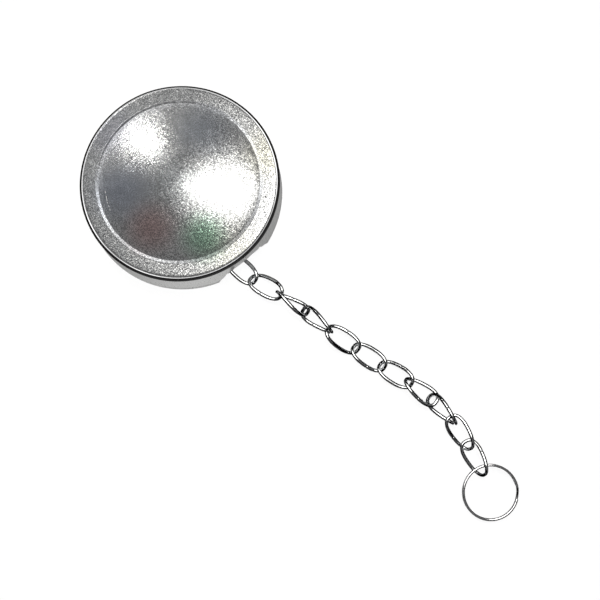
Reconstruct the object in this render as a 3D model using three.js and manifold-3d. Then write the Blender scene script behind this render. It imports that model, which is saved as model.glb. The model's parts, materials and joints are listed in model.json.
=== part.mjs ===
// A bayonet filler cap of pressed, zinc-plated steel, with a sprung seal inside it and a
// retaining chain of twisted links that ends in a two-turn split ring.
//
// Millimetres, +Z up. The cap stands on its skirt at z = 0 with its chain laid out along +X
// through a notch in the skirt. The last lines move the whole model so that the origin is at
// the middle of its footprint.
import * as THREE from "three";
import { mergeVertices } from "three/addons/utils/BufferGeometryUtils.js";
import Module from "manifold-3d";

const wasm = await Module();
wasm.setup();

// ---------------------------------------------------------------- driving dimensions
const gap = 0.3; // between pieces that touch
const sheet = 1.0; // thickness of the pressed sheet
const round = 64; // sides of a large turned piece
const roundSmall = 32; // sides of a small one

// Cap shell
const capRadius = 40.0;
const footRadius = 40.3; // the skirt flares slightly at its foot
const flareHeight = 2.5;
const rimHeight = 19.0; // top of the flat rim band
const cornerRadius = 1.6; // between skirt and rim band
const stepRadius = 32.4; // inner edge of the rim band
const stepHeight = 0.6;
const domeHeight = 4.8; // apex above the step
const apexRound = 9.0; // radius within which the cone rounds off

// Bayonet tabs and the notches they are bent from
const tabAngles = [-5, 175];
const notchWidth = 18;
const tabWidth = 16; // leaves a relief slot on each side of the tab
const tabDepth = 6.0;
const tabUnderside = 4.8;
const bendRadius = 1.6; // outside of the bend
const bendTop = 7.2;

// Centre stud and what hangs on it, from the foot up
const studRadius = 2.5;
const studHeadRadius = 4.0;
const studFoot = 1.2;
const studHeadHeight = 1.2;
const washerRadius = 4.0;
const washerThickness = 0.6;
const eyeWire = 1.5;
const sleeveRadius = 3.4;
const sleeveHeight = 2.6;
const stopRadius = 5.4;
const stopThickness = 1.0;

// Seal and spring
const hubRadius = 10.0;
const coneRadius = 17.0;
const sealPlateRadius = 33.0;
const sealUnderside = 9.0;
const sealThickness = 3.0;
const sealRadius = 32.0;
const sealRecess = 0.4; // the clamp ring's flange sits in it
const clampRadius = 25.0;
const clampTubeRadius = 18.0;
const clampThickness = 0.8;
const springRadius = 7.4;
const springWire = 1.6;
const springTurns = 4;
const seatRadius = 10.0;
const seatUnderside = 20.6;
const seatThickness = 0.8;
const seatLip = 1.0;

// Chain: one twisted oval link repeated, every link twisted the same way
const linkWire = 1.5;
const linkHalfLength = 7.4; // to the wire's centreline
const linkHalfWidth = 3.65;
const linkTwist = 56; // degrees from one end of a link to the other
const tautPitch = 12.7;
const slackPitch = 11.4;
const eyeReach = 8.8; // from the stud's axis to the first knot

// How each link lies: its heading, how far it is rolled over, and its pitch.
// The first two lie under the cap and the third passes through the notch.
const links = [
  { heading: -12, roll: 0, pitch: tautPitch },
  { heading: -8, roll: 0, pitch: tautPitch },
  { heading: 3, roll: 0, pitch: tautPitch },
  { heading: 15, roll: 0, pitch: tautPitch },
  { heading: 11, roll: -62, pitch: tautPitch },
  { heading: 6, roll: 62, pitch: tautPitch },
  { heading: 12, roll: 0, pitch: tautPitch },
  { heading: 11, roll: 0, pitch: tautPitch },
  { heading: 13, roll: 0, pitch: tautPitch },
  { heading: 8, roll: -30, pitch: slackPitch },
  { heading: -2, roll: 58, pitch: slackPitch },
  { heading: -13, roll: 28, pitch: slackPitch },
  { heading: -17, roll: 32, pitch: slackPitch },
];
// Height of each knot, where two links cross: low between links that lie flat, higher
// where a link stands on edge. The last one is where the split ring hangs in.
const low = 1.95;
const edge = 4.55;
const knotHeights = [4.2, 2.2, low, low, edge, 3.5, edge, low, low, 3.4, 3.1, edge, 3.2, 3.5];

// Split ring of two flat turns
const ringRadius = 10.65; // to the strip's centreline
const ringStrip = 1.0; // across the strip, towards the axis
const ringTurn = 0.9; // height of one turn
const ringStep = 14; // degrees either side of the joggle
const ringHeading = -24;
const ringCentreFromKnot = 9.0;
const ringTilt = 6.8; // the far side rests on the ground

// ---------------------------------------------------------------- materials
const steel = (color, roughness) =>
  new THREE.MeshStandardMaterial({ color, roughness, metalness: 1 });
const cappedZinc = steel(0xc9cacc, 0.38);
const insideZinc = steel(0xb4b4ae, 0.45);
const springSteel = steel(0x7d7f82, 0.35);
const chainZinc = steel(0xd6d7d9, 0.2);
const ringSteel = steel(0xcfd0d3, 0.15);
const rubber = new THREE.MeshStandardMaterial({ color: 0x1c1c1d, roughness: 0.8 });

// ---------------------------------------------------------------- helpers
const root = new THREE.Group();
const radians = THREE.MathUtils.degToRad;

function addMesh(name, geometry, material) {
  const mesh = new THREE.Mesh(geometry, material);
  mesh.name = name;
  root.add(mesh);
  return mesh;
}

// A ring or disc turned about Z from its half section, [radius, z] points taken
// anticlockwise. The section is closed here unless it starts and ends on the axis.
function turned(section, sides = round) {
  const points = section.map(([r, z]) => new THREE.Vector2(r, z));
  if (section[0][0] > 0 || section.at(-1)[0] > 0) points.push(points[0].clone());
  return new THREE.LatheGeometry(points, sides).rotateX(Math.PI / 2);
}

// A flat washer between two heights.
function washer(innerRadius, outerRadius, bottom, top, sides = round) {
  return turned(
    [
      [innerRadius, bottom],
      [outerRadius, bottom],
      [outerRadius, top],
      [innerRadius, top],
    ],
    sides,
  );
}

function toSolid(geometry) {
  const bare = geometry.index ? geometry.toNonIndexed() : geometry.clone();
  bare.deleteAttribute("normal");
  bare.deleteAttribute("uv");
  const merged = mergeVertices(bare, 1e-4);
  return new wasm.Manifold(
    new wasm.Mesh({
      numProp: 3,
      vertProperties: merged.attributes.position.array,
      triVerts: new Uint32Array(merged.index.array),
    }),
  );
}

function fromSolid(solid) {
  const mesh = solid.getMesh();
  const geometry = new THREE.BufferGeometry();
  geometry.setAttribute("position", new THREE.BufferAttribute(mesh.vertProperties, 3));
  geometry.setIndex(new THREE.BufferAttribute(mesh.triVerts, 1));
  geometry.computeVertexNormals();
  return geometry;
}

// Points on a quarter or other arc in a half section.
function arc(centreR, centreZ, radius, from, to, steps) {
  return Array.from({ length: steps + 1 }, (_, i) => {
    const a = radians(from + ((to - from) * i) / steps);
    return [centreR + radius * Math.cos(a), centreZ + radius * Math.sin(a)];
  });
}

// ---------------------------------------------------------------- cap shell
// Outer face of the dome: a shallow cone whose point is rounded off.
function domeTop(r) {
  const slope = domeHeight / stepRadius;
  const base = rimHeight + stepHeight;
  const lost = (slope * Math.max(0, apexRound - r) ** 2) / (2 * apexRound);
  return base + slope * (stepRadius - r) - lost;
}

function shellSection() {
  const cornerR = capRadius - cornerRadius;
  const cornerZ = rimHeight - cornerRadius;
  const stepTop = rimHeight + stepHeight;
  const stepBack = stepRadius - sheet * 0.4; // keeps the step's sheet near full thickness
  const radii = [24, 16, apexRound, apexRound * 0.55, apexRound * 0.25];
  return [
    [footRadius, 0],
    [capRadius, flareHeight],
    ...arc(cornerR, cornerZ, cornerRadius, 0, 90, 4),
    [stepRadius + stepHeight, rimHeight],
    [stepRadius, stepTop],
    ...radii.map((r) => [r, domeTop(r)]),
    [0, domeTop(0)],
    [0, domeTop(0) - sheet],
    ...radii.map((r) => [r, domeTop(r) - sheet]).reverse(),
    [stepBack, stepTop - sheet],
    [stepBack + stepHeight, rimHeight - sheet],
    ...arc(cornerR, cornerZ, cornerRadius - sheet, 90, 0, 3),
    [capRadius - sheet, flareHeight],
    [footRadius - sheet, 0],
  ];
}

// The strip of skirt over a notch, pressed flat and bent inwards into a bayonet tab.
function bayonetTab() {
  const face = Math.sqrt(capRadius ** 2 - (notchWidth / 2) ** 2);
  const back = face - sheet;
  const innerBend = bendRadius - sheet;
  const overlap = 0.9; // how far the flat runs up inside the round skirt
  const outline = new THREE.Shape();
  outline.moveTo(face - tabDepth, tabUnderside);
  outline.lineTo(face - bendRadius, tabUnderside);
  outline.absarc(face - bendRadius, tabUnderside + bendRadius, bendRadius, -Math.PI / 2, 0);
  outline.lineTo(face, bendTop + overlap);
  outline.lineTo(back, bendTop + overlap);
  outline.lineTo(back, tabUnderside + bendRadius);
  outline.absarc(
    back - innerBend,
    tabUnderside + bendRadius,
    innerBend,
    0,
    -Math.PI / 2,
    true,
  );
  outline.lineTo(face - tabDepth, tabUnderside + sheet);
  const strip = new THREE.ExtrudeGeometry(outline, {
    depth: tabWidth,
    bevelEnabled: false,
    curveSegments: 3,
  });
  return strip.rotateX(Math.PI / 2).translate(0, tabWidth / 2, 0);
}

function makeShell() {
  let shell = toSolid(turned(shellSection()));
  const window = new THREE.BoxGeometry(8, notchWidth, bendTop + 1);
  window.translate(capRadius, 0, (bendTop - 1) / 2);
  for (const angle of tabAngles) {
    const cut = toSolid(window.clone().rotateZ(radians(angle)));
    const tab = toSolid(bayonetTab().rotateZ(radians(angle)));
    shell = shell.subtract(cut).add(tab);
  }
  addMesh("cap_shell", fromSolid(shell), cappedZinc);
}

// ---------------------------------------------------------------- stud and fittings
const headTop = studFoot + studHeadHeight;
const washerBottom = headTop + gap;
const eyeBottom = washerBottom + washerThickness + gap;
const eyeHeight = eyeBottom + eyeWire / 2; // of its wire's centreline round the stud
const sleeveBottom = eyeBottom + eyeWire + gap;
const stopBottom = sleeveBottom + sleeveHeight + gap;
const stopTop = stopBottom + stopThickness;
const hubBottom = stopTop + gap;
const holeRadius = studRadius + 0.4;

function makeStud() {
  const top = domeTop(studRadius) - sheet - gap;
  const section = [
    [0, studFoot],
    [studHeadRadius * 0.7, studFoot],
    [studHeadRadius, studFoot + studHeadHeight * 0.5],
    [studHeadRadius, headTop],
    [studRadius, headTop],
    [studRadius, top],
    [0, top],
  ];
  addMesh("centre_stud", turned(section, roundSmall), insideZinc);
  addMesh(
    "rivet_washer",
    washer(holeRadius, washerRadius, washerBottom, washerBottom + washerThickness, roundSmall),
    insideZinc,
  );
  addMesh(
    "spacer_sleeve",
    washer(holeRadius - 0.1, sleeveRadius, sleeveBottom, stopBottom - gap, roundSmall),
    insideZinc,
  );
  addMesh(
    "retaining_washer",
    washer(holeRadius - 0.1, stopRadius, stopBottom, stopTop, roundSmall),
    insideZinc,
  );
}

function makeSpringSeat() {
  const top = seatUnderside + seatThickness;
  const section = [
    [holeRadius, seatUnderside],
    [seatRadius - seatThickness, seatUnderside],
    [seatRadius - seatThickness, seatUnderside - seatLip],
    [seatRadius, seatUnderside - seatLip],
    [seatRadius, top],
    [holeRadius, top],
  ];
  addMesh("spring_seat", turned(section, roundSmall), insideZinc);
}

class Helix extends THREE.Curve {
  constructor(radius, bottom, top, turns) {
    super();
    Object.assign(this, { radius, bottom, top, turns });
  }
  getPoint(t, target = new THREE.Vector3()) {
    const a = 2 * Math.PI * this.turns * t;
    const z = this.bottom + (this.top - this.bottom) * t;
    return target.set(this.radius * Math.cos(a), this.radius * Math.sin(a), z);
  }
}

function makeSpring() {
  const section = new THREE.Shape().absarc(0, 0, springWire / 2, 0, 2 * Math.PI);
  const bottom = hubBottom + sheet + gap + springWire / 2;
  const top = seatUnderside - gap - springWire / 2;
  const coil = new THREE.ExtrudeGeometry(section, {
    steps: springTurns * 18,
    curveSegments: 3,
    extrudePath: new Helix(springRadius, bottom, top, springTurns),
  });
  addMesh("pressure_spring", coil, springSteel);
}

// ---------------------------------------------------------------- seal
function makeSeal() {
  const sealTop = sealUnderside + sealThickness;
  const flangeBottom = sealTop + gap;
  const plate = [
    [holeRadius, hubBottom],
    [hubRadius, hubBottom],
    [coneRadius, flangeBottom],
    [sealPlateRadius, flangeBottom],
    [sealPlateRadius, flangeBottom + sheet],
    [coneRadius - 0.6, flangeBottom + sheet],
    [hubRadius - 0.6, hubBottom + sheet],
    [holeRadius, hubBottom + sheet],
  ];
  addMesh("seal_plate", turned(plate), insideZinc);
  const tubeOutside = clampTubeRadius + clampThickness;
  const recessTop = sealUnderside + sealRecess;
  const seal = [
    [tubeOutside + gap, recessTop],
    [clampRadius + gap, recessTop],
    [clampRadius + gap + sealRecess, sealUnderside],
    [sealRadius, sealUnderside],
    [sealRadius, sealTop],
    [tubeOutside + gap, sealTop],
  ];
  addMesh("seal_ring", turned(seal), rubber);
  const clampTop = recessTop - gap;
  const clamp = [
    [clampTubeRadius, clampTop - clampThickness],
    [clampRadius, clampTop - clampThickness],
    [clampRadius, clampTop],
    [tubeOutside, clampTop],
    [tubeOutside, sealTop],
    [clampTubeRadius, sealTop],
  ];
  addMesh("seal_clamp_ring", turned(clamp), insideZinc);
}

// ---------------------------------------------------------------- chain
// Centreline of a closed wire link: a racetrack along X whose plane turns about X. The
// turn at each x comes from rollAt, in degrees.
class LinkCurve extends THREE.Curve {
  constructor(centre, halfLength, rollAt) {
    super();
    Object.assign(this, { centre, halfLength, rollAt });
  }
  getPoint(t, target = new THREE.Vector3()) {
    const straight = this.halfLength - linkHalfWidth;
    const bend = Math.PI * linkHalfWidth;
    const half = 2 * straight + bend;
    const side = t < 0.5 ? 1 : -1;
    const s = (t < 0.5 ? t : t - 0.5) * 2 * half;
    let x = straight - (s - bend);
    let y = linkHalfWidth;
    if (s < bend) {
      const a = s / linkHalfWidth - Math.PI / 2;
      x = straight + linkHalfWidth * Math.cos(a);
      y = linkHalfWidth * Math.sin(a);
    }
    const turn = radians(this.rollAt(side * x));
    const out = side * y;
    return target.set(this.centre + side * x, out * Math.cos(turn), out * Math.sin(turn));
  }
}

function wireLink(curve, wire) {
  const steps = 26;
  const sides = 7;
  return new THREE.TubeGeometry(curve, steps, wire / 2, sides, true);
}

// A wire loop round the stud, flat there and turned on edge where the chain hooks in.
function makeSwivelEye() {
  const tip = eyeReach + linkHalfLength - tautPitch / 2;
  const halfLength = (tip + linkHalfWidth) / 2;
  const centre = tip - halfLength;
  const flatTo = 2.6;
  const curve = new LinkCurve(
    centre,
    halfLength,
    (x) => 90 * THREE.MathUtils.smoothstep(centre + x, flatTo, tip),
  );
  const eye = addMesh("swivel_eye", wireLink(curve, eyeWire), insideZinc);
  eye.position.z = eyeHeight;
  eye.rotation.z = radians(links[0].heading);
}

// Knots from the eye to the split ring.
function knotPoints() {
  const start = radians(links[0].heading);
  const points = [
    new THREE.Vector3(
      eyeReach * Math.cos(start),
      eyeReach * Math.sin(start),
      knotHeights[0],
    ),
  ];
  links.forEach(({ heading, pitch }, i) => {
    const rise = knotHeights[i + 1] - knotHeights[i];
    const run = Math.sqrt(pitch ** 2 - rise ** 2);
    const a = radians(heading);
    const last = points[i];
    points.push(
      new THREE.Vector3(
        last.x + run * Math.cos(a),
        last.y + run * Math.sin(a),
        knotHeights[i + 1],
      ),
    );
  });
  return points;
}

// Stands a mesh at a knot with its X along a heading, raised by a slope.
function layAt(mesh, knot, heading, slope) {
  mesh.position.copy(knot);
  mesh.rotation.set(0, -slope, heading, "ZYX");
}

// Every link has the same steady twist; only the roll of its middle differs.
function makeChain(knots) {
  links.forEach(({ heading, roll, pitch }, i) => {
    const rollAt = (x) => roll + (linkTwist * x) / (2 * linkHalfLength);
    const curve = new LinkCurve(pitch / 2, linkHalfLength, rollAt);
    const name = `chain_link_${String(i + 1).padStart(2, "0")}`;
    const link = addMesh(name, wireLink(curve, linkWire), chainZinc);
    const slope = Math.asin((knots[i + 1].z - knots[i].z) / pitch);
    layAt(link, knots[i], radians(heading), slope);
  });
}

// ---------------------------------------------------------------- split ring
// Two flat turns, one on the other, joined by a short joggle.
class SplitRingCurve extends THREE.Curve {
  getPoint(t, target = new THREE.Vector3()) {
    const step = radians(ringStep);
    const a = step + t * (4 * Math.PI - 2 * step);
    const rise = ringTurn + gap;
    const through = THREE.MathUtils.smoothstep(a, 2 * Math.PI - step, 2 * Math.PI + step);
    const z = -rise / 2 + rise * through;
    return target.set(ringRadius * Math.cos(a), ringRadius * Math.sin(a), z);
  }
}

function makeSplitRing(knot) {
  const section = new THREE.Shape();
  const h = ringTurn / 2;
  const w = ringStrip / 2;
  section.moveTo(-h, -w);
  section.lineTo(h, -w);
  section.lineTo(h, w);
  section.lineTo(-h, w);
  const curve = new SplitRingCurve();
  curve.arcLengthDivisions = 400;
  const strip = new THREE.ExtrudeGeometry(section, { steps: 72, extrudePath: curve });
  strip.rotateZ(radians(70)).translate(ringCentreFromKnot, 0, 0);
  const ring = addMesh("split_ring", strip, ringSteel);
  layAt(ring, knot, radians(ringHeading), radians(-ringTilt));
}

// ---------------------------------------------------------------- assembly
makeShell();
makeStud();
makeSpringSeat();
makeSpring();
makeSeal();
makeSwivelEye();
const knots = knotPoints();
makeChain(knots);
makeSplitRing(knots.at(-1));

// Origin at the middle of the footprint.
root.updateMatrixWorld(true);
const bounds = new THREE.Box3().setFromObject(root, true);
const middle = bounds.getCenter(new THREE.Vector3());
root.position.set(-middle.x, -middle.y, -bounds.min.z);

export default root;
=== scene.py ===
"""A pressed, zinc-plated bayonet filler cap with its sprung seal, twisted-link chain and split
ring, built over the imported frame. Sizes are in millimetres until a mesh is made."""
import json
import math

import bpy
import numpy as np
from mathutils import Matrix, Vector, noise


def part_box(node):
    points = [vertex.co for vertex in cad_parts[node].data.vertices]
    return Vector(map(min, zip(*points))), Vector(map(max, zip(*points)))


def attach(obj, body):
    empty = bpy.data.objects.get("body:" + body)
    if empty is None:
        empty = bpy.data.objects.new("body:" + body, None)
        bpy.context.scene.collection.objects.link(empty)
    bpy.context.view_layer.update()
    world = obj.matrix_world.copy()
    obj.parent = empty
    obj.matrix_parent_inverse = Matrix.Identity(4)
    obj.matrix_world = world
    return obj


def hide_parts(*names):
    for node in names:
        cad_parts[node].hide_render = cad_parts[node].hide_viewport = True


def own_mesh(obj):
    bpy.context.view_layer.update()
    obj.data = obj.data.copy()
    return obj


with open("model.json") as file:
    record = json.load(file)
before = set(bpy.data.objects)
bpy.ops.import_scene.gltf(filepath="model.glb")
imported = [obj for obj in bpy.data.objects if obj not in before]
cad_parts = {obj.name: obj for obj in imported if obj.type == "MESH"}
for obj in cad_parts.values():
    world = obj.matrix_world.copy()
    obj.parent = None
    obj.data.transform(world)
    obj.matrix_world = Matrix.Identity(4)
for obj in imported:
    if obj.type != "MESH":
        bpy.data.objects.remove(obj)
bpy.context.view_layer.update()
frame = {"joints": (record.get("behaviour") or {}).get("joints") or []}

MM = 0.001
JOINTS = {joint["name"]: joint for joint in frame["joints"]}


def joint_place(name):
    return np.array(JOINTS[name]["pos_m"], float) / MM


def node_box(name):
    return [np.array(corner, float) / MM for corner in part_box(name)]


AXIS = joint_place("eye_swivel")[:2]  # the cap's centre line, seen from above

# ------------------------------------------------------------------ sizes, in millimetres
SHEET = 1.0
CAP_RADIUS = 40.0
FOOT_RADIUS = 40.3
FLARE_HEIGHT = 2.5
RIM_HEIGHT = 19.0
CORNER_RADIUS = 2.0
STEP_RADIUS = 32.4  # of the top of the step; it runs down over the next two
STEP_IN = 0.25
STEP_OUT = 0.93
STEP_HEIGHT = 0.6
DOME_HEIGHT = 3.764
DOME_POWER = 1.65  # 1 is a cone, 2 a bowl
DOME_WAVE = 0.035  # the pressing isn't perfect

TAB_ANGLES = (-5, 175)  # about the cap's axis, in degrees as all angles here
NOTCH_HALF_ANGLE = 13.0
TAB_HALF_ANGLE = 11.5  # between the two, a relief slot
SLOT_ROUND = 0.5
NOTCH_HALF_WIDTH = 9.0
NOTCH_TOP = 7.2
NOTCH_FLARE = 3.8  # a notch is this much wider at the foot, on each side
FLARE_REACH = 14.0  # along the wall, within which the mesh makes room for it
FLAT_TOP = 10.8  # the skirt starts to flatten towards a tab here
TAB_DEPTH = 6.0
TAB_TIP_ROUND = 2.4
TAB_UNDERSIDE = 4.8
BEND_RADIUS = 1.6

LINK_WIRE = 1.6
LAST_LINK_WIRE = 1.5  # of the last two links, and of the eye
WEAR = 0.09  # share of the wire's radius lost where links bear on each other
LINK_HALF_LENGTH = 7.4
LINK_HALF_WIDTH = 3.65
LINK_SQUARENESS = 2.7  # 2 is an ellipse
LINK_TWIST = 56  # from end to end
EYE_TIP = 9.85  # from the stud's axis
EYE_FLAT_TO = 2.6
EYE_HEIGHT = 4.35
LINK_ROLLS = (0, 0, 0, 0, -62, 62, 0, 0, 0, -30, 58, 28, 32)

RING_RADIUS = 10.65
RING_STRIP = 1.0
RING_TURN = 0.9
RING_GAP = 0.3
RING_STEP = 14  # either side of the joggle between the turns
RING_DROP = 6.8  # its far side rests on the ground
RING_WIRE_TO_KNOT = 1.65
RING_START = 70

SEAL_SHEET = 0.8  # of the spring seat and the clamp ring
STUD_HOLE = 2.9  # in the pieces on the stud


# ------------------------------------------------------------------ mesh helpers
def smoothstep(x, low, high):
    t = np.clip((np.asarray(x, float) - low) / (high - low), 0, 1)
    return t * t * (3 - 2 * t)


def add_piece(name, points, faces, body, slot, material, *nodes):
    """A smooth-shaded mesh from points in millimetres, which rides on a CAD body."""
    mesh = bpy.data.meshes.new(name)
    mesh.from_pydata([tuple(p) for p in np.asarray(points, float) * MM], [], faces)
    mesh.validate()
    mesh.shade_smooth()
    mesh.materials.append(material)
    piece = bpy.data.objects.new(name, mesh)
    bpy.context.scene.collection.objects.link(piece)
    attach(piece, body)
    if nodes:
        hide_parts(*nodes)
    return piece


def break_edges(piece, width, segments=2):
    """Takes the sharpness off every cut edge."""
    bevel = piece.modifiers.new("broken edges", "BEVEL")
    bevel.width = width * MM
    bevel.segments = segments
    bevel.limit_method = "ANGLE"
    bevel.angle_limit = math.radians(40)
    bevel.harden_normals = True


def soften(section, radius, closed=True, steps=4):
    """Rounds the corners of a half section. A third number on a point is its own radius."""
    corners = [np.array(p[:2], float) for p in section]
    radii = [p[2] if len(p) > 2 else radius for p in section]
    count = len(corners)
    made = []
    for i, corner in enumerate(corners):
        if not closed and i in (0, count - 1):
            made.append(corner)
            continue
        before, after = corners[i - 1] - corner, corners[(i + 1) % count] - corner
        room = 0.45 * min(np.linalg.norm(before), np.linalg.norm(after))
        a, b = before / np.linalg.norm(before), after / np.linalg.norm(after)
        half = math.acos(np.clip(a @ b, -1, 1)) / 2
        if radii[i] <= 0 or half > math.radians(88.5):
            made.append(corner)
            continue
        reach = min(radii[i] / math.tan(half), room)
        hold = min(0.12, 0.2 * room)
        middle = (a + b) / np.linalg.norm(a + b)
        centre = corner + middle * reach / math.cos(half)
        start, end = corner + a * reach - centre, corner + b * reach - centre
        size = np.linalg.norm(start)
        sweep = math.acos(np.clip(start @ end / size**2, -1, 1))
        made.append(corner + a * (reach + hold))
        for k in range(steps + 1):
            t = k / steps
            away = math.sin((1 - t) * sweep) * start + math.sin(t * sweep) * end
            made.append(centre + away / max(math.sin(sweep), 1e-9))
        made.append(corner + b * (reach + hold))
    return made


def turned(section, sides=160, closed=True):
    """Points and faces of a half section turned about the cap's axis. An open section starts
    and ends on the axis."""
    points, rows = [], []
    for r, z in section:
        if r < 1e-6:
            rows.append([len(points)] * sides)
            points.append((AXIS[0], AXIS[1], z))
            continue
        rows.append(range(len(points), len(points) + sides))
        for k in range(sides):
            a = 2 * math.pi * k / sides
            points.append((AXIS[0] + r * math.cos(a), AXIS[1] + r * math.sin(a), z))
    faces = []
    for low, high in zip(rows, rows[1:] + (rows[:1] if closed else [])):
        for k in range(sides):
            n = (k + 1) % sides
            face = []
            for v in (low[k], low[n], high[n], high[k]):
                if v not in face:
                    face.append(v)
            faces.append(face)
    return points, faces


def sweep_frames(path, closed):
    """Tangents and a side vector that turns as little as possible along a path."""
    ahead = np.roll(path, -1, axis=0) if closed else np.vstack([path[1:], path[-1:]])
    behind = np.roll(path, 1, axis=0) if closed else np.vstack([path[:1], path[:-1]])
    tangents = ahead - behind
    tangents /= np.linalg.norm(tangents, axis=1)[:, None]
    side = np.cross(tangents[0], (0.31, 0.17, 0.93))
    sides = []
    for t in tangents:
        side = side - (side @ t) * t
        side /= np.linalg.norm(side)
        sides.append(side)
    sides = np.array(sides)
    if closed:
        end = sides[-1] - (sides[-1] @ tangents[0]) * tangents[0]
        other = np.cross(tangents[0], sides[0])
        slip = math.atan2(end @ other, end @ sides[0])
        for k, t in enumerate(tangents):
            a = -slip * k / len(path)
            cross = np.cross(t, sides[k])
            sides[k] = sides[k] * math.cos(a) + cross * math.sin(a)
    return tangents, sides


def wire(path, radii, around=18, closed=True):
    """Points and faces of a round wire along a path. Open ends are flat with a broken edge."""
    path = np.asarray(path, float)
    tangents, sides = sweep_frames(path, closed)
    points = []
    for p, t, s, radius in zip(path, tangents, sides, radii):
        other = np.cross(t, s)
        for k in range(around):
            a = 2 * math.pi * k / around
            points.append(p + radius * (s * math.cos(a) + other * math.sin(a)))
    faces = []
    count = len(path)
    for i in range(count if closed else count - 1):
        j = (i + 1) % count
        for k in range(around):
            n = (k + 1) % around
            faces.append((i * around + k, i * around + n, j * around + n, j * around + k))
    if not closed:
        faces.append(tuple(range(around))[::-1])
        faces.append(tuple((count - 1) * around + k for k in range(around)))
    return points, faces


# ------------------------------------------------------------------ material helpers
class Nodes:
    """Adds and links a material's nodes in few words."""

    def __init__(self, tree):
        self.tree = tree

    def add(self, kind, inputs=None, **settings):
        node = self.tree.nodes.new("ShaderNode" + kind)
        for key, value in settings.items():
            setattr(node, key, value)
        for socket, value in (inputs or {}).items():
            if isinstance(value, bpy.types.NodeSocket):
                self.tree.links.new(value, node.inputs[socket])
            else:
                node.inputs[socket].default_value = value
        return node.outputs

    def math(self, operation, *values):
        return self.add("Math", dict(enumerate(values)), operation=operation)[0]

    def vector(self, operation, *values, scale=None):
        inputs = dict(enumerate(values))
        if scale is not None:
            inputs["Scale"] = scale
        made = self.add("VectorMath", inputs, operation=operation)
        return made["Value" if operation in ("LENGTH", "DISTANCE", "DOT_PRODUCT") else "Vector"]

    def noise(self, coords, grain_mm, detail=3.0, rough=0.55):
        inputs = {"Vector": coords, "Scale": 1 / (grain_mm * MM), "Detail": detail}
        return self.add("TexNoise", {**inputs, "Roughness": rough})["Fac"]

    def remap(self, value, from_low, from_high, low, high, smooth=False):
        kind = "SMOOTHSTEP" if smooth else "LINEAR"
        inputs = {0: value, 1: from_low, 2: from_high, 3: low, 4: high}
        return self.add("MapRange", inputs, interpolation_type=kind)[0]

    def mix(self, factor, a, b, blend="MIX"):
        inputs = {0: factor, 6: a, 7: b}
        return self.add("Mix", inputs, data_type="RGBA", blend_type=blend)[2]


def new_material(name, metallic=1.0):
    material = bpy.data.materials.new(name)
    material.use_nodes = True
    n = Nodes(material.node_tree)
    shader = material.node_tree.nodes["Principled BSDF"]
    shader.inputs["Metallic"].default_value = metallic
    coords = n.add("TexCoord")["Object"]

    def plug(socket, value):
        material.node_tree.links.new(value, shader.inputs[socket])

    return material, n, coords, plug


def crystals(n, coords, cell_mm, tilt):
    """A normal tipped at random for each crystal of the plating, and the crystal's shade."""
    cells = n.add("TexVoronoi", {"Vector": coords, "Scale": 1 / (cell_mm * MM)})
    tip = n.vector("SUBTRACT", cells["Color"], (0.5, 0.5, 0.5))
    normal = n.add("NewGeometry")["Normal"]
    tipped = n.vector("ADD", normal, n.vector("SCALE", tip, scale=2 * tilt))
    shade = n.add("SeparateColor", {0: cells["Color"]})[2]
    return n.vector("NORMALIZE", tipped), shade


def around_cap(angle, radius):
    """A place in metres at an angle about the cap's axis."""
    a = math.radians(angle)
    x, y = AXIS[0] + radius * math.cos(a), AXIS[1] + radius * math.sin(a)
    return (x * MM, y * MM, 0.0)


# Coloured patches on the cap's top: angle, radius, size, colour, depth. The bluish and lilac ones are
# tints of the passivation film and the yellowish ones warm the rim band; the red and the green one
# are painted reflections, and the grey one over the apex is painted shade.
TOP_TINTS_AND_PAINTED_LIGHT = (
    (-123, 23, 17, (0.80, 0.86, 1.00), 0.75),
    (110, 22, 15, (0.84, 0.90, 1.00), 0.60),
    # Painted reflections, red and then green.
    (-74, 22, 14, (1.00, 0.72, 0.70), 0.85),
    (-21, 25, 13, (0.58, 0.95, 0.70), 0.82),
    (-171, 36, 16, (0.86, 0.85, 1.00), 0.40),
    (63, 37, 15, (1.00, 0.97, 0.82), 0.70),
    (-8, 37, 18, (1.00, 0.98, 0.88), 0.60),
    # Painted shade over the apex.
    (-60, 3, 17, (0.80, 0.82, 0.83), 0.80),
)

# Where its spangle is fainter: angle, radius, size.
SMOOTH_PATCHES = ((-130, 21, 17), (176, 22, 19), (124, 21, 12))

# Heights between which the cap's finish changes, from the drawn wall up to the top. Over the rolled
# corner they bound a painted dark reflection and a painted highlight line.
WALL_ENDS = (16.6 * MM, 17.0 * MM)
CORNER_DARKENS = (17.0 * MM, 18.0 * MM)
CORNER_BRIGHTENS = (18.66 * MM, 18.73 * MM)
SPANGLE_STARTS = (18.88 * MM, 18.97 * MM)
GLOSS_CHANGES = (18.80 * MM, 18.97 * MM)


def grey(value):
    return (value, value, value, 1)


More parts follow.
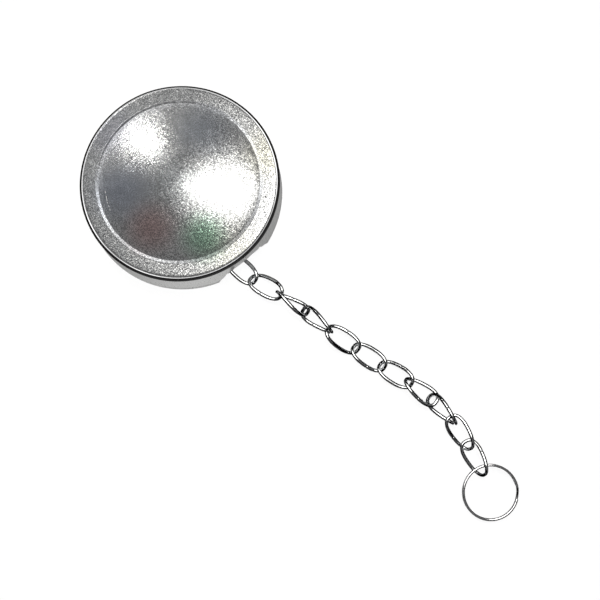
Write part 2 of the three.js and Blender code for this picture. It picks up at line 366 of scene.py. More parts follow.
def cap_zinc():
    material, n, coords, plug = new_material("bright_spangled_zinc")
    normal, shade = crystals(n, coords, 0.31, 0.040)
    x, y, z = (n.add("SeparateXYZ", {0: coords})[k] for k in range(3))
    flat = n.add("CombineXYZ", {0: x, 1: y})[0]
    top = n.remap(z, *GLOSS_CHANGES, 0, 1, smooth=True)
    above_wall = n.remap(z, *WALL_ENDS, 0, 1, smooth=True)
    shade = n.remap(shade, 0.15, 0.85, 0, 1, smooth=True)
    for angle, radius, size in SMOOTH_PATCHES:
        away = n.vector("DISTANCE", flat, around_cap(angle, radius))
        depth = n.remap(away, 0.4 * size * MM, size * MM, 0.7, 0, smooth=True)
        shade = n.add("Mix", {0: depth, 2: shade, 3: 0.6})[0]
    out = n.vector("DISTANCE", flat, around_cap(0, 0))
    band = n.remap(out, 33 * MM, 34 * MM, 0, 1)
    dark = n.mix(band, (0.45, 0.455, 0.46, 1), (0.36, 0.365, 0.37, 1))
    colour = n.mix(shade, dark, (0.97, 0.975, 0.98, 1))
    cloud = n.remap(n.noise(coords, 14, 2), 0.35, 0.65, 0.0, 0.3)
    colour = n.mix(cloud, colour, (0.87, 0.885, 0.91, 1), "MULTIPLY")
    # Passivation tints, a warmer rim band, painted reflections and painted shade over the apex, from
    # the table above.
    for angle, radius, size, patch_colour, depth in TOP_TINTS_AND_PAINTED_LIGHT:
        away = n.vector("DISTANCE", flat, around_cap(angle, radius))
        near = n.remap(away, 0.1 * size * MM, size * MM, depth, 0, smooth=True)
        colour = n.mix(n.math("MULTIPLY", near, top), colour, (*patch_colour, 1), "MULTIPLY")
    # The drawn wall is duller and darker than the top. Round the rolled corner a painted dark
    # reflection runs, with a painted highlight line above it.
    streaks = n.noise(n.vector("MULTIPLY", coords, (1, 1, 0.12)), 0.5, 4)
    wall = n.remap(streaks, 0.35, 0.65, 0, 1)
    wall = n.mix(wall, (0.45, 0.45, 0.44, 1), (0.62, 0.62, 0.61, 1))
    rolled = n.remap(z, *CORNER_BRIGHTENS, 0, 1)
    # The edge reflection is tinted dark over the corner's painted dark band.
    plug("Specular Tint", n.mix(above_wall, grey(1), n.mix(rolled, grey(0.1), grey(1))))
    # Painted dark reflection round the corner, darker towards the top.
    shadow = n.mix(n.remap(z, *CORNER_DARKENS, 0, 1), grey(0.26), grey(0.05))
    # Above it, a painted highlight line.
    rolled = n.mix(rolled, shadow, grey(0.92))
    colour = n.mix(n.remap(z, *SPANGLE_STARTS, 0, 1), rolled, colour)
    colour = n.mix(above_wall, wall, colour)
    # A short handling scratch inside the step, and one pit in the rim band.
    line = n.math("SUBTRACT", out, 29.4 * MM)
    line = n.math("LESS_THAN", n.math("ABSOLUTE", line), 0.13 * MM)
    reach = n.vector("DISTANCE", flat, around_cap(-118, 29.4))
    reach = n.math("LESS_THAN", reach, 4.6 * MM)
    broken = n.math("GREATER_THAN", n.noise(coords, 1.1, 1), 0.5)
    scratch = n.math("MULTIPLY", n.math("MULTIPLY", line, reach), broken)
    colour = n.mix(scratch, colour, grey(1))
    pit = n.vector("DISTANCE", flat, around_cap(34.6, 35.0))
    pit = n.math("LESS_THAN", pit, 0.33 * MM)
    colour = n.mix(n.math("MULTIPLY", pit, top), colour, grey(0.08))
    plug("Base Color", colour)
    rough = n.remap(n.noise(coords, 3, 4), 0.3, 0.7, 0.185, 0.25)
    burnished = n.remap(streaks, 0.3, 0.7, 0.05, 0.09)
    dull = n.remap(streaks, 0.3, 0.7, 0.26, 0.36)
    rough = n.add("Mix", {0: top, 2: burnished, 3: rough})[0]
    rough = n.add("Mix", {0: above_wall, 2: dull, 3: rough})[0]
    rough = n.math("ADD", rough, n.math("MULTIPLY", scratch, 0.3))
    plug("Roughness", rough)
    wall_normal, _ = crystals(n, coords, 0.4, 0.015)
    blend = n.add("Mix", {0: top, 4: wall_normal, 5: normal}, data_type="VECTOR")[1]
    grain = {"Strength": 0.25, "Distance": 0.02 * MM, "Height": n.noise(coords, 0.3, 3)}
    plug("Normal", n.add("Bump", {**grain, "Normal": n.vector("NORMALIZE", blend)})[0])
    return material


def plated(name, light, dark, grain_mm, low, high, bump, cell=0.0, tilt=0.0):
    """Plated steel with mottled colour and roughness, and a fine grain in the surface. cell
    and tilt give it crystals."""
    material, n, coords, plug = new_material(name)
    mottle = n.remap(n.noise(coords, grain_mm, 4), 0.3, 0.7, 0, 1)
    colour = n.mix(mottle, (*dark, 1), (*light, 1))
    stain = n.remap(n.noise(coords, 6 * grain_mm, 2), 0.52, 0.72, 0, 0.35)
    colour = n.mix(stain, colour, (0.78, 0.76, 0.70, 1), "MULTIPLY")
    plug("Base Color", colour)
    plug("Roughness", n.remap(n.noise(coords, 0.6 * grain_mm, 5), 0.3, 0.7, low, high))
    inputs = {"Strength": bump, "Distance": 0.05 * MM, "Height": n.noise(coords, 0.35, 4)}
    if cell:
        inputs["Normal"] = crystals(n, coords, cell, tilt)[0]
    plug("Normal", n.add("Bump", inputs)[0])
    return material


def rubber():
    material, n, coords, plug = new_material("black_rubber", metallic=0.0)
    bloom = n.remap(n.noise(coords, 5, 5), 0.4, 0.75, 0, 1)
    colour = n.mix(bloom, (0.018, 0.018, 0.019, 1), (0.055, 0.054, 0.052, 1))
    specks = n.remap(n.noise(coords, 0.4, 2), 0.66, 0.74, 0, 0.6)
    plug("Base Color", n.mix(specks, colour, (0.11, 0.11, 0.105, 1)))
    plug("Roughness", n.remap(n.noise(coords, 2, 4), 0.3, 0.7, 0.55, 0.8))
    inputs = {"Strength": 0.5, "Distance": 0.06 * MM, "Height": n.noise(coords, 0.25, 4)}
    plug("Normal", n.add("Bump", inputs)[0])
    return material


ZINC_TOP = cap_zinc()
ZINC_INSIDE = plated(
    "dull_zinc", (0.64, 0.64, 0.61), (0.50, 0.50, 0.48), 2.0, 0.28, 0.42, 0.3, 0.45, 0.05
)
ZINC_WIRE = plated(
    "bright_drawn_wire", (0.68, 0.69, 0.70), (0.52, 0.53, 0.55), 1.2, 0.05, 0.12, 0.12
)
RING_STEEL = plated(
    "bright_ring_plating", (0.84, 0.84, 0.86), (0.70, 0.70, 0.72), 1.5, 0.05, 0.12, 0.12
)
SPRING_STEEL = plated(
    "oiled_spring_steel", (0.42, 0.42, 0.43), (0.25, 0.25, 0.26), 0.9, 0.22, 0.36, 0.35
)
RUBBER = rubber()


# ------------------------------------------------------------------ cap shell
def dome_top(r):
    """Height of the dome's outer face at a radius."""
    return RIM_HEIGHT + STEP_HEIGHT + DOME_HEIGHT * (1 - (r / STEP_RADIUS) ** DOME_POWER)


def step_ramp(start, radius):
    """The step from the dome down to the rim band, whose top edge is at a radius."""
    step_top = RIM_HEIGHT + STEP_HEIGHT
    ramp = [(start, dome_top(start)), (radius - STEP_IN, step_top)]
    return soften([*ramp, (radius + STEP_OUT, RIM_HEIGHT), (34.2, RIM_HEIGHT)], 0.45, closed=False)


def corner_arc(radius, steps=10):
    """The rolled corner between rim band and wall."""
    centre_r, centre_z = CAP_RADIUS - CORNER_RADIUS, RIM_HEIGHT - CORNER_RADIUS
    angles = np.radians(np.linspace(90, 0, steps + 1))
    return [(centre_r + radius * math.cos(a), centre_z + radius * math.sin(a)) for a in angles]


def shell_rows():
    """Outer and inner rows of the shell from the apex down to the top of the notches."""
    dome = np.concatenate([np.linspace(0.6, 9.6, 13), np.linspace(10.4, 31.0, 22)])
    outer = [(0, dome_top(0))] + [(r, dome_top(r)) for r in dome]
    outer += step_ramp(31.0, STEP_RADIUS)[1:]
    outer += [(35.6, RIM_HEIGHT), (36.8, RIM_HEIGHT), (37.6, RIM_HEIGHT)]
    outer += corner_arc(CORNER_RADIUS) + [(CAP_RADIUS, z) for z in (16.5, 16, 14, 12, 11)]
    inner = [(0, dome_top(0) - SHEET)] + [(r, dome_top(r) - SHEET) for r in dome[:-1]]
    inner += [(r, z - SHEET) for r, z in step_ramp(30.6, STEP_RADIUS - 0.4 * SHEET)]
    inner += [(35.6, RIM_HEIGHT - SHEET), (37.0, RIM_HEIGHT - SHEET)]
    inner += corner_arc(CORNER_RADIUS - SHEET, 6)
    inner += [(CAP_RADIUS - SHEET, z) for z in (16, 14, 12, 11)]
    return outer, inner


def shell_columns():
    """Angles of the shell's columns, and what stands below the notch top after each."""
    columns = []
    for tab, following in zip(TAB_ANGLES, (*TAB_ANGLES[1:], TAB_ANGLES[0] + 360)):
        slot = (NOTCH_HALF_ANGLE - TAB_HALF_ANGLE) / 2
        columns += [(tab - NOTCH_HALF_ANGLE + slot * k, "slot", tab) for k in range(2)]
        step = TAB_HALF_ANGLE / 10
        columns += [(tab - TAB_HALF_ANGLE + step * k, "tab", tab) for k in range(20)]
        columns += [(tab + TAB_HALF_ANGLE + slot * k, "slot", tab) for k in range(2)]
        start, end = tab + NOTCH_HALF_ANGLE, following - NOTCH_HALF_ANGLE
        columns += [(a, "skirt", tab) for a in np.linspace(start, end, 155)[:-1]]
    return columns


def about_axis(x, y, z, angle):
    """A point turned about the cap's axis."""
    t = math.radians(angle)
    return (x * math.cos(t) - y * math.sin(t), x * math.sin(t) + y * math.cos(t), z)


def flattened(radius, offset, tab, z):
    """A point of the wall near a tab, where it flattens towards the tab's plane."""
    a = math.radians(offset)
    y = radius * math.sin(a)
    x = radius * math.cos(a)
    plane = math.sqrt(CAP_RADIUS**2 - NOTCH_HALF_WIDTH**2) - (CAP_RADIUS - radius)
    if abs(offset) < NOTCH_HALF_ANGLE:
        x += (plane - x) * float(smoothstep(FLAT_TOP - z, 0, FLAT_TOP - NOTCH_TOP + 0.4))
    return about_axis(x, y, z, tab)


def nearest_tab(angle):
    """The tab nearest to an angle, and the angle from it."""
    offsets = {tab: (angle - tab + 180) % 360 - 180 for tab in TAB_ANGLES}
    tab = min(offsets, key=lambda t: abs(offsets[t]))
    return tab, offsets[tab]


def skirt_point(radius, angle, z):
    """A point of the wall below the notch top, where the notches widen towards the foot."""
    _, offset = nearest_tab(angle)
    away = math.radians(abs(offset) - NOTCH_HALF_ANGLE) * CAP_RADIUS
    curve_foot, most = -2.2, 0.87  # of the curved edge, which goes on below the foot
    cut = NOTCH_FLARE * (1 - float(smoothstep(z, curve_foot, NOTCH_TOP))) / most
    shift = cut * max(0.0, 1 - away / FLARE_REACH) / CAP_RADIUS
    a = math.radians(angle) + math.copysign(shift, offset)
    flare = (FOOT_RADIUS - CAP_RADIUS) * float(smoothstep(FLARE_HEIGHT - z, 0, FLARE_HEIGHT))
    return ((radius + flare) * math.cos(a), (radius + flare) * math.sin(a), z)


def tab_points(outside, angle, tab):
    """One column of a tab's outer or inner face, from the notch top to its tip."""
    offset = (angle - tab + 180) % 360 - 180
    y = CAP_RADIUS * math.sin(math.radians(offset))
    face = math.sqrt(CAP_RADIUS**2 - NOTCH_HALF_WIDTH**2)
    half = CAP_RADIUS * math.sin(math.radians(TAB_HALF_ANGLE))
    past = max(0.0, abs(y) - (half - TAB_TIP_ROUND))
    depth = TAB_DEPTH - (TAB_TIP_ROUND - math.sqrt(max(0.0, TAB_TIP_ROUND**2 - past**2)))
    bend = BEND_RADIUS if outside else BEND_RADIUS - SHEET
    centre_x, centre_z = face - BEND_RADIUS, TAB_UNDERSIDE + BEND_RADIUS
    start = centre_x + bend
    profile = [(start, NOTCH_TOP - 0.3), (start, centre_z + 0.1)]
    for k in range(9):
        a = math.radians(-90 * k / 8)
        profile.append((centre_x + bend * math.cos(a), centre_z + bend * math.sin(a)))
    level = centre_z - bend
    for k in range(1, 6):
        profile.append((centre_x + (face - depth - centre_x) * k / 5, level))
    return [about_axis(x, y, z, tab) for x, z in profile]


def make_shell():
    outer, inner = shell_rows()
    columns = shell_columns()
    count = len(columns)
    points, faces = [], []
    slot_middle = (NOTCH_HALF_ANGLE + TAB_HALF_ANGLE) / 2

    def add(point):
        x, y, z = point
        points.append((AXIS[0] + x, AXIS[1] + y, z))
        return len(points) - 1

    def upper_face(rows, radius, flip):
        """Rows from the apex down to the notch top, with the wall flattening near the tabs."""
        middle = add((0, 0, rows[0][1]))
        ring = None
        for r, z in rows[1:]:
            new = [add(about_axis(r, 0, z, a)) for a, _, _ in columns]
            for k in range(count):
                n = (k + 1) % count
                face = (middle, new[k], new[n])
                if ring:
                    face = (ring[k], new[k], new[n], ring[n])
                faces.append(face[::-1] if flip else face)
            ring = new
        for z in (10.4, 9.6, 8.8, 8.0, NOTCH_TOP):
            new = []
            for a, kind, _ in columns:
                tab, offset = nearest_tab(a)
                in_slot = kind == "slot" and abs(abs(offset) - slot_middle) < 0.1
                lift = SLOT_ROUND if in_slot and z == NOTCH_TOP else 0.0
                new.append(add(flattened(radius, offset, tab, z + lift)))
            for k in range(count):
                n = (k + 1) % count
                face = (ring[k], new[k], new[n], ring[n])
                faces.append(face[::-1] if flip else face)
            ring = new
        return ring

    out_ring = upper_face(outer, CAP_RADIUS, False)
    in_ring = upper_face(inner, CAP_RADIUS - SHEET, True)

    heights = (6.4, 5.6, 4.8, 4.0, 3.2, 2.6, 2.1, 1.6, 1.2, 0.8, 0.5, 0.25, 0.1, 0.0)
    lower = {}

    def column_of(k, kind):
        """Outer and inner points below the notch top of one column of a skirt or tab."""
        if (k, kind) not in lower:
            angle, _, tab = columns[k]
            if kind == "skirt":
                out = [skirt_point(CAP_RADIUS, angle, z) for z in heights]
                back = [skirt_point(CAP_RADIUS - SHEET, angle, z) for z in heights]
            else:
                out, back = tab_points(True, angle, tab), tab_points(False, angle, tab)
            lower[k, kind] = (
                [out_ring[k]] + [add(p) for p in out],
                [in_ring[k]] + [add(p) for p in back],
            )
        return lower[k, kind]

    def side_wall(k, kind, flip):
        out, back = column_of(k, kind)
        for i in range(len(out) - 1):
            face = (out[i], out[i + 1], back[i + 1], back[i])
            faces.append(face[::-1] if flip else face)

    for k in range(count):
        n, kind = (k + 1) % count, columns[k][1]
        if kind == "slot":
            faces.append((out_ring[k], in_ring[k], in_ring[n], out_ring[n]))
        else:
            (out_a, back_a), (out_b, back_b) = column_of(k, kind), column_of(n, kind)
            for i in range(len(out_a) - 1):
                faces.append((out_a[i], out_a[i + 1], out_b[i + 1], out_b[i]))
                faces.append((back_a[i + 1], back_a[i], back_b[i], back_b[i + 1]))
            faces.append((out_a[-1], back_a[-1], back_b[-1], out_b[-1]))
            if columns[k - 1][1] == "slot":
                side_wall(k, kind, True)
            if columns[n][1] == "slot":
                side_wall(n, kind, False)
    for i, (x, y, z) in enumerate(points):
        r = math.hypot(x - AXIS[0], y - AXIS[1])
        if z > RIM_HEIGHT - 1.3 and r < 33:
            wave = noise.noise(Vector((x / 11, y / 11, 3.7)))
            points[i] = (x, y, z + DOME_WAVE * wave * float(smoothstep(33 - r, 0, 4)))
    shell = add_piece("cap_shell_pressed", points, faces, "cap", "cap_zinc", ZINC_TOP, "cap_shell")
    break_edges(shell, 0.14)


# ------------------------------------------------------------------ stud, washers, seat, spring
def turned_piece(name, section, body, slot, material, node, closed=True, radius=0.2, sides=120):
    points, faces = turned(soften(section, radius, closed), sides, closed)
    return add_piece(name, points, faces, body, slot, material, node)


def round_box(node):
    """A turned CAD piece's outer radius, foot and top."""
    (_, y0, z0), (_, y1, z1) = node_box(node)
    return (y1 - y0) / 2, z0, z1


def make_fittings():
    _, low, high = round_box("centre_stud")
    stud = [
        (0, low + 0.25),
        (0.9, low + 0.18),
        (1.5, low, 0.4),
        (2.9, low + 0.08, 0.8),
        (4.0, low + 0.7, 0.5),
        (3.9, low + 1.2, 0.15),
        (2.5, low + 1.2, 0.1),
        (2.5, high, 0.3),
        (0, high),
    ]
    turned_piece("centre_stud_peened", stud, "cap", "inner_zinc", ZINC_INSIDE, "centre_stud", False)
    for node, inner in (("rivet_washer", 2.9), ("spacer_sleeve", 2.8), ("retaining_washer", 2.8)):
        outer, z0, z1 = round_box(node)
        ring = [(inner, z0), (outer, z0, 0.12), (outer, z1, 0.25), (inner, z1)]
        turned_piece(node + "_finished", ring, "cap", "inner_zinc", ZINC_INSIDE, node, radius=0.12)
    outer, z0, z1 = round_box("spring_seat")
    cup = [
        (STUD_HOLE, z1 - SEAL_SHEET),
        (outer - SEAL_SHEET, z1 - SEAL_SHEET, 0.3),
        (outer - SEAL_SHEET, z0, 0.15),
        (outer, z0, 0.2),
        (outer, z1, 0.7),
        (STUD_HOLE, z1),
    ]
    turned_piece("spring_seat_pressed", cup, "cap", "inner_zinc", ZINC_INSIDE, "spring_seat")


def make_spring():
    _, z0, z1 = round_box("pressure_spring")
    wire_radius = 0.8
    radius = 7.4
    turns, steps = 4, 320
    t = np.linspace(0, 1, steps + 1)
    closed_end = 0.16  # share of the length in each flat end coil
    rise = np.clip((t - closed_end / 2) / (1 - closed_end), 0, 1)
    rise = 0.75 * rise + 0.25 * smoothstep(rise, 0, 1)
    z = z0 + wire_radius + (z1 - z0 - 2 * wire_radius) * rise
    a = 2 * math.pi * turns * t
    path = np.column_stack([AXIS[0] + radius * np.cos(a), AXIS[1] + radius * np.sin(a), z])
    ends = np.minimum(1, 0.86 + 40 * np.minimum(t, 1 - t))
    points, faces = wire(path, wire_radius * ends, 16, closed=False)
    look = ("spring_steel", SPRING_STEEL)
    spring = add_piece("pressure_spring_coiled", points, faces, "cap", *look, "pressure_spring")
    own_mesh(spring)


# ------------------------------------------------------------------ seal
def make_seal():
    zinc = ("seal", "inner_zinc", ZINC_INSIDE)
    outer, z0, z1 = round_box("seal_plate")
    plate = [
        (STUD_HOLE, z0, 0.2),
        (10.0, z0, 1.2),
        (17.0, z1 - SHEET, 1.6),
        (outer, z1 - SHEET, 0.3),
        (outer, z1, 0.45),
        (16.4, z1, 1.2),
        (9.4, z0 + SHEET, 0.9),
        (STUD_HOLE, z0 + SHEET, 0.3),
    ]
    turned_piece("seal_plate_pressed", plate, *zinc, "seal_plate", radius=0.3, sides=180)
    outer, z0, z1 = round_box("seal_ring")
    seal = [
        (19.1, z0 + 0.4, 0.15),
        (25.3, z0 + 0.4, 0.15),
        (25.8, z0, 0.25),
        (27.4, z0, 0.1),
        (27.7, z0 + 0.14, 0.1),
        (29.8, z0 + 0.14, 0.1),
        (30.1, z0, 0.1),
        (outer - 0.1, z0, 0.4),
        (outer, z0 + 0.8, 0.3),
        (outer - 0.25, z0 + 1.5, 0.3),
        (outer, z1 - 0.7, 0.3),
        (outer - 0.1, z1, 0.35),
        (19.1, z1, 0.25),
    ]
    turned_piece("seal_ring_moulded", seal, "seal", "seal_rubber", RUBBER, "seal_ring", sides=180)
    outer, z0, z1 = round_box("seal_clamp_ring")
    tube = 18.0
    clamp = [
        (tube, z0, 0.7),
        (outer, z0, 0.25),
        (outer, z0 + SEAL_SHEET, 0.15),
        (tube + SEAL_SHEET, z0 + SEAL_SHEET, 0.2),
        (tube + SEAL_SHEET, z1, 0.15),
        (tube, z1, 0.15),
    ]
    turned_piece("seal_clamp_ring_pressed", clamp, *zinc, "seal_clamp_ring", sides=180)


# ------------------------------------------------------------------ chain
def wire_loop(centre, half_length, roll_at, size, butt=None, steps=200):
    """A closed wire link's centreline along X, its plane turning about X, and its radii. The
    outline is an oval with bowed legs. butt is the place of the cut where the wire was closed,
    as a share of the way round, which shows as a narrow groove."""

    def outline(a):
        c, s = np.cos(a), np.sin(a)
        power = 2 / LINK_SQUARENESS
        x = half_length * np.sign(c) * np.abs(c) ** power
        return x, LINK_HALF_WIDTH * np.sign(s) * np.abs(s) ** power

    fine = np.linspace(0, 2 * math.pi, 4001)
    x, y = outline(fine)
    length = np.concatenate([[0], np.cumsum(np.hypot(np.diff(x), np.diff(y)))])
    spots = np.linspace(0, length[-1], steps, endpoint=False)
    joint = -10.0
    if butt is not None:  # extra rings close to the butt joint
        joint = butt * length[-1]
        near = joint + np.array([-0.5, -0.22, -0.09, -0.03, 0, 0.03, 0.09, 0.22, 0.5])
        spots = np.sort(np.concatenate([spots[np.abs(spots - joint) > 0.6], near]))
    x, y = np.interp(spots, length, x), np.interp(spots, length, y)
    turn = np.radians([roll_at(value) for value in x])
    path = np.column_stack([centre + x, y * np.cos(turn), y * np.sin(turn)])
    groove_depth, groove_reach = 0.42, 0.11
    pinch = groove_depth * np.maximum(0.0, 1 - np.abs(spots - joint) / groove_reach)
    worn = WEAR * smoothstep(np.abs(x), 0.3 * half_length, 0.7 * half_length)
    return path, size / 2 * (1 - pinch) * (1 - worn)


def placed(points, start, end):
    """Points laid out along X, moved so that X runs from one place towards another."""
    along = (end - start) / np.linalg.norm(end - start)
    level = np.cross((0, 0, 1), along)
    level /= np.linalg.norm(level)
    turn = np.column_stack([along, level, np.cross(along, level)])
    return np.asarray(points) @ turn.T + start


def make_chain():
    """The links from knot to knot, and the eye on the stud."""
    names = [name for name in JOINTS if name.startswith("link_")]
    knots = [joint_place(name) for name in names]
    ring = joint_place("ring_flip")
    knots.append(ring + ring_direction() * RING_WIRE_TO_KNOT)
    for i, (name, roll) in enumerate(zip(names, LINK_ROLLS)):
        start, end = knots[i], knots[i + 1]
        pitch = np.linalg.norm(end - start)

        def roll_at(x, roll=roll):
            return roll + LINK_TWIST * x / (2 * LINK_HALF_LENGTH)

        # The cut lies in a leg, a little elsewhere in each link and in either leg by turns.
        butt = 0.22 + 0.06 * (i * 7 % 5) / 4 + 0.5 * (i % 2)
        size = LINK_WIRE if i < len(names) - 2 else LAST_LINK_WIRE
        path, radii = wire_loop(pitch / 2, LINK_HALF_LENGTH, roll_at, size, butt)
        points, faces = wire(placed(path, start, end), radii)
        node = f"chain_link_{i + 1:02d}"
        piece = f"twisted_link_{i + 1:02d}"
        add_piece(piece, points, faces, f"link_{i + 1:02d}", "chain_zinc", ZINC_WIRE, node)
    # The first loop goes round the stud, flat there and on edge where the chain hooks in.
    half_length = (EYE_TIP + LINK_HALF_WIDTH) / 2
    centre = EYE_TIP - half_length

    def eye_roll(x):
        return 90 * float(smoothstep(centre + x, EYE_FLAT_TO, EYE_TIP))

    path, radii = wire_loop(centre, half_length, eye_roll, LAST_LINK_WIRE)
    stud = np.array([*AXIS, EYE_HEIGHT])
    points, faces = wire(placed(path, stud, np.array([*knots[0][:2], stud[2]])), radii)
    add_piece("swivel_eye_wire", points, faces, "eye", "inner_zinc", ZINC_WIRE, "swivel_eye")


# ------------------------------------------------------------------ split ring
def ring_direction():
    """From the ring's hinge at the chain towards its centre."""
    axis = np.array(JOINTS["ring_flip"]["axis"], float)
    flat = np.cross(axis, (0, 0, 1))
    drop = math.radians(RING_DROP)
    return np.array([*(flat[:2] * math.cos(drop)), -math.sin(drop)])


def make_split_ring():
    hinge = joint_place("ring_flip")
    across = np.array(JOINTS["ring_flip"]["axis"], float)
    ahead = ring_direction()
    up = np.cross(ahead, across)
    centre = hinge + ahead * RING_RADIUS
    step = math.radians(RING_STEP)
    steps = 420
    turn = np.linspace(step, 4 * math.pi - step, steps + 1)
    rise = RING_TURN + RING_GAP
    height = -rise / 2 + rise * smoothstep(turn, 2 * math.pi - step, 2 * math.pi + step)
    w, h, soft = RING_STRIP / 2, RING_TURN / 2, 0.38
    section = []
    for cx, cy, first in ((w, h, 0), (-w, h, 90), (-w, -h, 180), (w, -h, 270)):
        for k in range(5):
            a = math.radians(first + 22.5 * k)
            px = cx - math.copysign(soft, cx) + soft * math.cos(a)
            py = cy - math.copysign(soft, cy) + soft * math.sin(a)
            section.append((px, py))
    around = len(section)
    points, faces = [], []
    for i, (a, z) in enumerate(zip(turn, height)):
        b = a + math.radians(RING_START)
        out = ahead * math.cos(b) + across * math.sin(b)
        from_end = min(i, steps - i) * (turn[1] - turn[0]) * RING_RADIUS
        taper = 0.72 + 0.28 * min(1.0, from_end / 0.5)
        for px, py in section:
            points.append(centre + out * (RING_RADIUS + px * taper) + up * (z + py * taper))
    for i in range(steps):
        for k in range(around):
            n = (k + 1) % around
            faces.append((i * around + k, (i + 1) * around + k, (i + 1) * around + n, i * around + n))
    faces.append(tuple(range(around)))
    faces.append(tuple(steps * around + k for k in range(around))[::-1])
    add_piece("split_ring_wound", points, faces, "ring", "ring_steel", RING_STEEL, "split_ring")


make_shell()
make_fittings()
make_spring()
make_seal()
make_chain()
make_split_ring()

# ------------------------------------------------------------------ stage, lights, camera
RIGHT = Vector((math.sqrt(0.5), math.sqrt(0.5), 0))  # right and down in the main view
DOWN = Vector((math.sqrt(0.5), -math.sqrt(0.5), 0))
CAP_TOP = Vector((AXIS[0], AXIS[1], RIM_HEIGHT)) * MM
CHAIN_MIDDLE = Vector((20, 0, 0)) * MM


def make_floor():
    """A plain white floor. Half of what lies under it shows through, so that a chain posed
    below the cap's foot can be seen."""
    size = 4.0
    corners = [(-size, -size), (size, -size), (size, size), (-size, size)]
    mesh = bpy.data.meshes.new("floor")
    mesh.from_pydata([(x, y, -0.00002) for x, y in corners], [], [(0, 1, 2, 3)])
    floor = bpy.data.objects.new("floor", mesh)
    bpy.context.scene.collection.objects.link(floor)
    floor.visible_glossy = floor.visible_shadow = False
    material = bpy.data.materials.new("pale_floor")
    material.use_nodes = True
    n = Nodes(material.node_tree)
    shader = material.node_tree.nodes["Principled BSDF"]
    shader.inputs["Base Color"].default_value = (0.9, 0.9, 0.9, 1)
    shader.inputs["Roughness"].default_value = 1.0
    shader.inputs["Specular IOR Level"].default_value = 0.0
    shader.inputs["Emission Color"].default_value = (1, 1, 1, 1)
    shader.inputs["Emission Strength"].default_value = 0.85
    # Clear from below, so that the underside can be looked at.
    clear = n.add("BsdfTransparent")[0]
    below = n.add("NewGeometry")["Backfacing"]
    both = n.add("MixShader", {0: n.remap(below, 0, 1, 0.5, 1), 1: shader.outputs[0], 2: clear})[0]
    material.node_tree.links.new(both, material.node_tree.nodes["Material Output"].inputs[0])
    mesh.materials.append(material)


WARM_WHITE = (1.0, 0.985, 0.945)
COOL_WHITE = (0.95, 0.98, 1.0)


def softbox(name, aim, tilts, distance, size, radiance, only=(), colour=WARM_WHITE):
    """A round light that faces a place, tilted off the vertical to the right and down. It may
    light only some pieces."""
    toward = Vector((0, 0, 1))
    toward += RIGHT * math.tan(math.radians(tilts[0]))
    toward += DOWN * math.tan(math.radians(tilts[1]))
    toward.normalize()
    light = bpy.data.lights.new(name, "AREA")
    light.shape = "DISK"
    light.size = size
    light.color = colour
    light.energy = radiance * math.pi * math.pi * (size / 2) ** 2
    box = bpy.data.objects.new(name, light)
    box.location = aim + toward * distance
    box.rotation_euler = toward.to_track_quat("Z", "Y").to_euler()
    box.visible_camera = False
    bpy.context.scene.collection.objects.link(box)
    if only:
        light_only(box, name + "_lights", only)


def light_only(light, name, pieces):
    """Lets a light fall on some pieces only."""
    lit = bpy.data.collections.new(name)
    for piece in pieces:
        lit.objects.link(piece)
    light.light_linking.receiver_collection = lit


def ring_card(name, low, high, pieces, strength):
    """A round wall of light about the cap, which the camera doesn't see and only some pieces
    reflect. strength is a list of places in its height, from 0 to 1, and radiances there."""
    sides, rows, reach = 64, 12, 1.0
    points = []
    for j in range(rows + 1):
        for k in range(sides):
            a = 2 * math.pi * k / sides
            z = low + (high - low) * j / rows
            x, y = AXIS[0] * MM + reach * math.cos(a), AXIS[1] * MM + reach * math.sin(a)
            points.append((x, y, z))
    faces = []
    for j in range(rows):
        for k in range(sides):
            following, row = (k + 1) % sides, j * sides
            above = row + sides
            faces.append((row + k, row + following, above + following, above + k))
    mesh = bpy.data.meshes.new(name)
    mesh.from_pydata(points, [], faces)
    ring = bpy.data.objects.new(name, mesh)
    bpy.context.scene.collection.objects.link(ring)
    ring.visible_camera = ring.visible_shadow = False
    material = bpy.data.materials.new(name)
    material.use_nodes = True
    n = Nodes(material.node_tree)
    coords = n.add("TexCoord")["Object"]
    place = n.remap(n.add("SeparateXYZ", {0: coords})[2], low, high, 0, 1)
    ramp = value_ramp(n, place, strength)
    clouds = n.remap(n.noise(coords, 900, 1), 0.35, 0.65, 0.6, 1.4)
    glow = n.add("Emission", {0: ramp, 1: clouds})[0]
    material.node_tree.links.new(glow, material.node_tree.nodes["Material Output"].inputs[0])
    mesh.materials.append(material)
    light_only(ring, name + "_lights", pieces)


def value_ramp(n, value, stops):
    """A grey ramp through places and values."""
    ramp = n.tree.nodes.new("ShaderNodeValToRGB")
    n.tree.links.new(value, ramp.inputs[0])
    elements = ramp.color_ramp.elements
    while len(elements) > 1:
        elements.remove(elements[-1])
    for i, (place, grey) in enumerate(stops):
        element = elements[0] if i == 0 else elements.new(place)
        element.position = place
        element.color = (grey, grey, grey, 1)
    return ramp.outputs[0]


def side_panel(name, aim, azimuth, elevation, radiance, pieces, height=0.15):
    """A wide panel of light that faces a place and lights only some pieces."""
    width, distance = 0.50, 0.6
    a, e = math.radians(azimuth), math.radians(elevation)
    toward = Vector((math.cos(e) * math.cos(a), math.cos(e) * math.sin(a), math.sin(e)))
    light = bpy.data.lights.new(name, "AREA")
    light.shape = "RECTANGLE"
    light.size, light.size_y = width, height
    light.energy = radiance * math.pi * light.size * light.size_y
    panel = bpy.data.objects.new(name, light)
    panel.location = aim + toward * distance
    panel.rotation_euler = toward.to_track_quat("Z", "Y").to_euler()
    panel.visible_camera = False
    bpy.context.scene.collection.objects.link(panel)
    light_only(panel, name + "_lights", pieces)


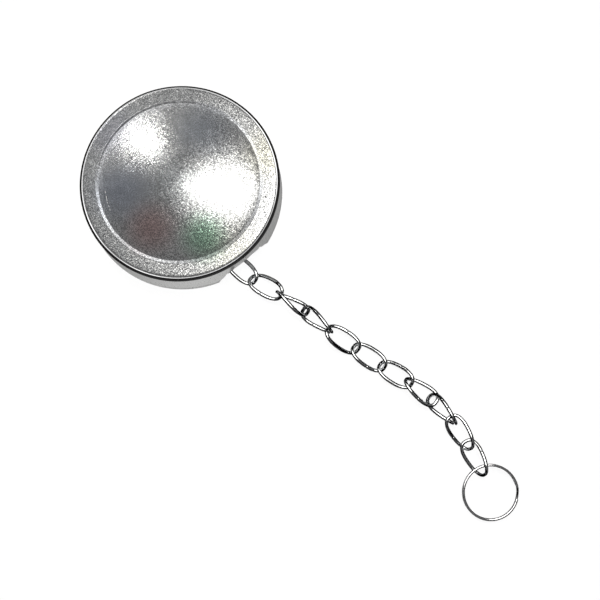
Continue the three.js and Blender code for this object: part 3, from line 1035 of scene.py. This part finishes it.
def make_world():
    """A dark room with a light ceiling and floor. The camera sees it white."""
    world = bpy.data.worlds.new("studio")
    world.use_nodes = True
    bpy.context.scene.world = world
    n = Nodes(world.node_tree)
    direction = n.add("TexCoord")["Generated"]
    height = n.add("SeparateXYZ", {0: direction})[2]
    bands = ((-1.0, 0.48), (-0.93, 0.44), (-0.86, 0.05), (0.6, 0.05), (0.7, 0.15), (1.0, 0.15))
    ramp = value_ramp(n, n.remap(height, -1, 1, 0, 1), [((z + 1) / 2, v) for z, v in bands])
    background = world.node_tree.nodes["Background"]
    white = n.add("Background", {"Color": (1, 1, 1, 1), "Strength": 1.0})[0]
    # Below, it is brighter towards the near side, so the skirt is lighter there.
    toward = n.vector("DOT_PRODUCT", direction, tuple(DOWN))
    below = n.math("LESS_THAN", height, -0.5)
    lift = n.remap(toward, 0.10, 0.20, 1.0, 2.0)
    lift = n.add("Mix", {0: below, 2: 1.0, 3: lift})[0]
    world.node_tree.links.new(lift, background.inputs[1])
    world.node_tree.links.new(ramp, background.inputs[0])
    seen = n.add("LightPath")["Is Camera Ray"]
    both = n.add("MixShader", {0: seen, 1: background.outputs[0], 2: white})[0]
    world.node_tree.links.new(both, world.node_tree.nodes["World Output"].inputs[0])


def make_camera():
    """A camera that looks almost straight down, tilted towards a direction in the ground."""
    lens, distance = 75.0, 506.74
    tilt, turn = math.radians(9.23), math.radians(81.87)
    back = Vector((0, 0, math.cos(tilt)))
    back += math.sin(tilt) * (math.cos(turn) * RIGHT + math.sin(turn) * DOWN)
    back.normalize()
    side = (RIGHT - RIGHT.dot(back) * back).normalized()
    up = back.cross(side)
    camera = bpy.data.objects.new("camera", bpy.data.cameras.new("camera"))
    camera.data.lens = lens
    camera.data.sensor_width = 36.0
    target = Vector((AXIS[0] + 64.67, AXIS[1] + 2.26, 0)) * MM
    target += (0.4 * RIGHT + 0.5 * DOWN) * MM
    turn_matrix = Matrix((side, up, back)).transposed().to_4x4()
    camera.matrix_world = Matrix.Translation(target + back * distance * MM) @ turn_matrix
    camera.data.clip_start, camera.data.clip_end = 0.01, 20
    bpy.context.scene.collection.objects.link(camera)
    bpy.context.scene.camera = camera


def make_lights():
    pieces = [o for o in bpy.data.objects if o.type == "MESH" and o.data.materials]
    wires = [o for o in pieces if o.name.startswith(("twisted", "split"))]
    worked = ("pressed", "peened", "finished", "coiled", "moulded", "eye_wire")
    solids = [o for o in pieces if o.name.endswith(worked)]
    shell = bpy.data.objects["cap_shell_pressed"]
    ring_card("upper_card", 0.44, 1.05, [shell], ((0, 1.2), (1, 1.2)))
    ring_card("lower_card", -1.6, 0.36, solids, ((0, 0.7), (0.5, 0.6), (0.8, 0.35), (1, 0.05)))
    softbox("main_softbox", CAP_TOP, (10.2, -10.9), 0.9, 0.33, 3.0)
    softbox("small_softbox", CAP_TOP, (-22.0, -31.0), 0.9, 0.125, 7.5)
    softbox("fill_softbox", CAP_TOP, (-9.5, -14.5), 0.9, 0.24, 0.15, colour=COOL_WHITE)
    softbox("band_softbox", CAP_TOP, (-0.8, -9.6), 0.9, 0.15, 2.2)
    softbox("wire_softbox", CHAIN_MIDDLE, (-1.3, -9.1), 0.45, 0.39, 4.2, wires)
    for turn, height, radiance in ((20, 8, 0.6), (110, 6, 0.25), (200, 10, 0.6), (290, 7, 0.25)):
        side_panel(f"panel_{turn}", CHAIN_MIDDLE, turn, height, radiance, wires)
    side_panel("panel_below", CHAIN_MIDDLE, 0, -89, 0.7, wires, 0.4)


make_floor()
make_world()
make_lights()
make_camera()
bpy.context.scene.view_settings.view_transform = "Standard"
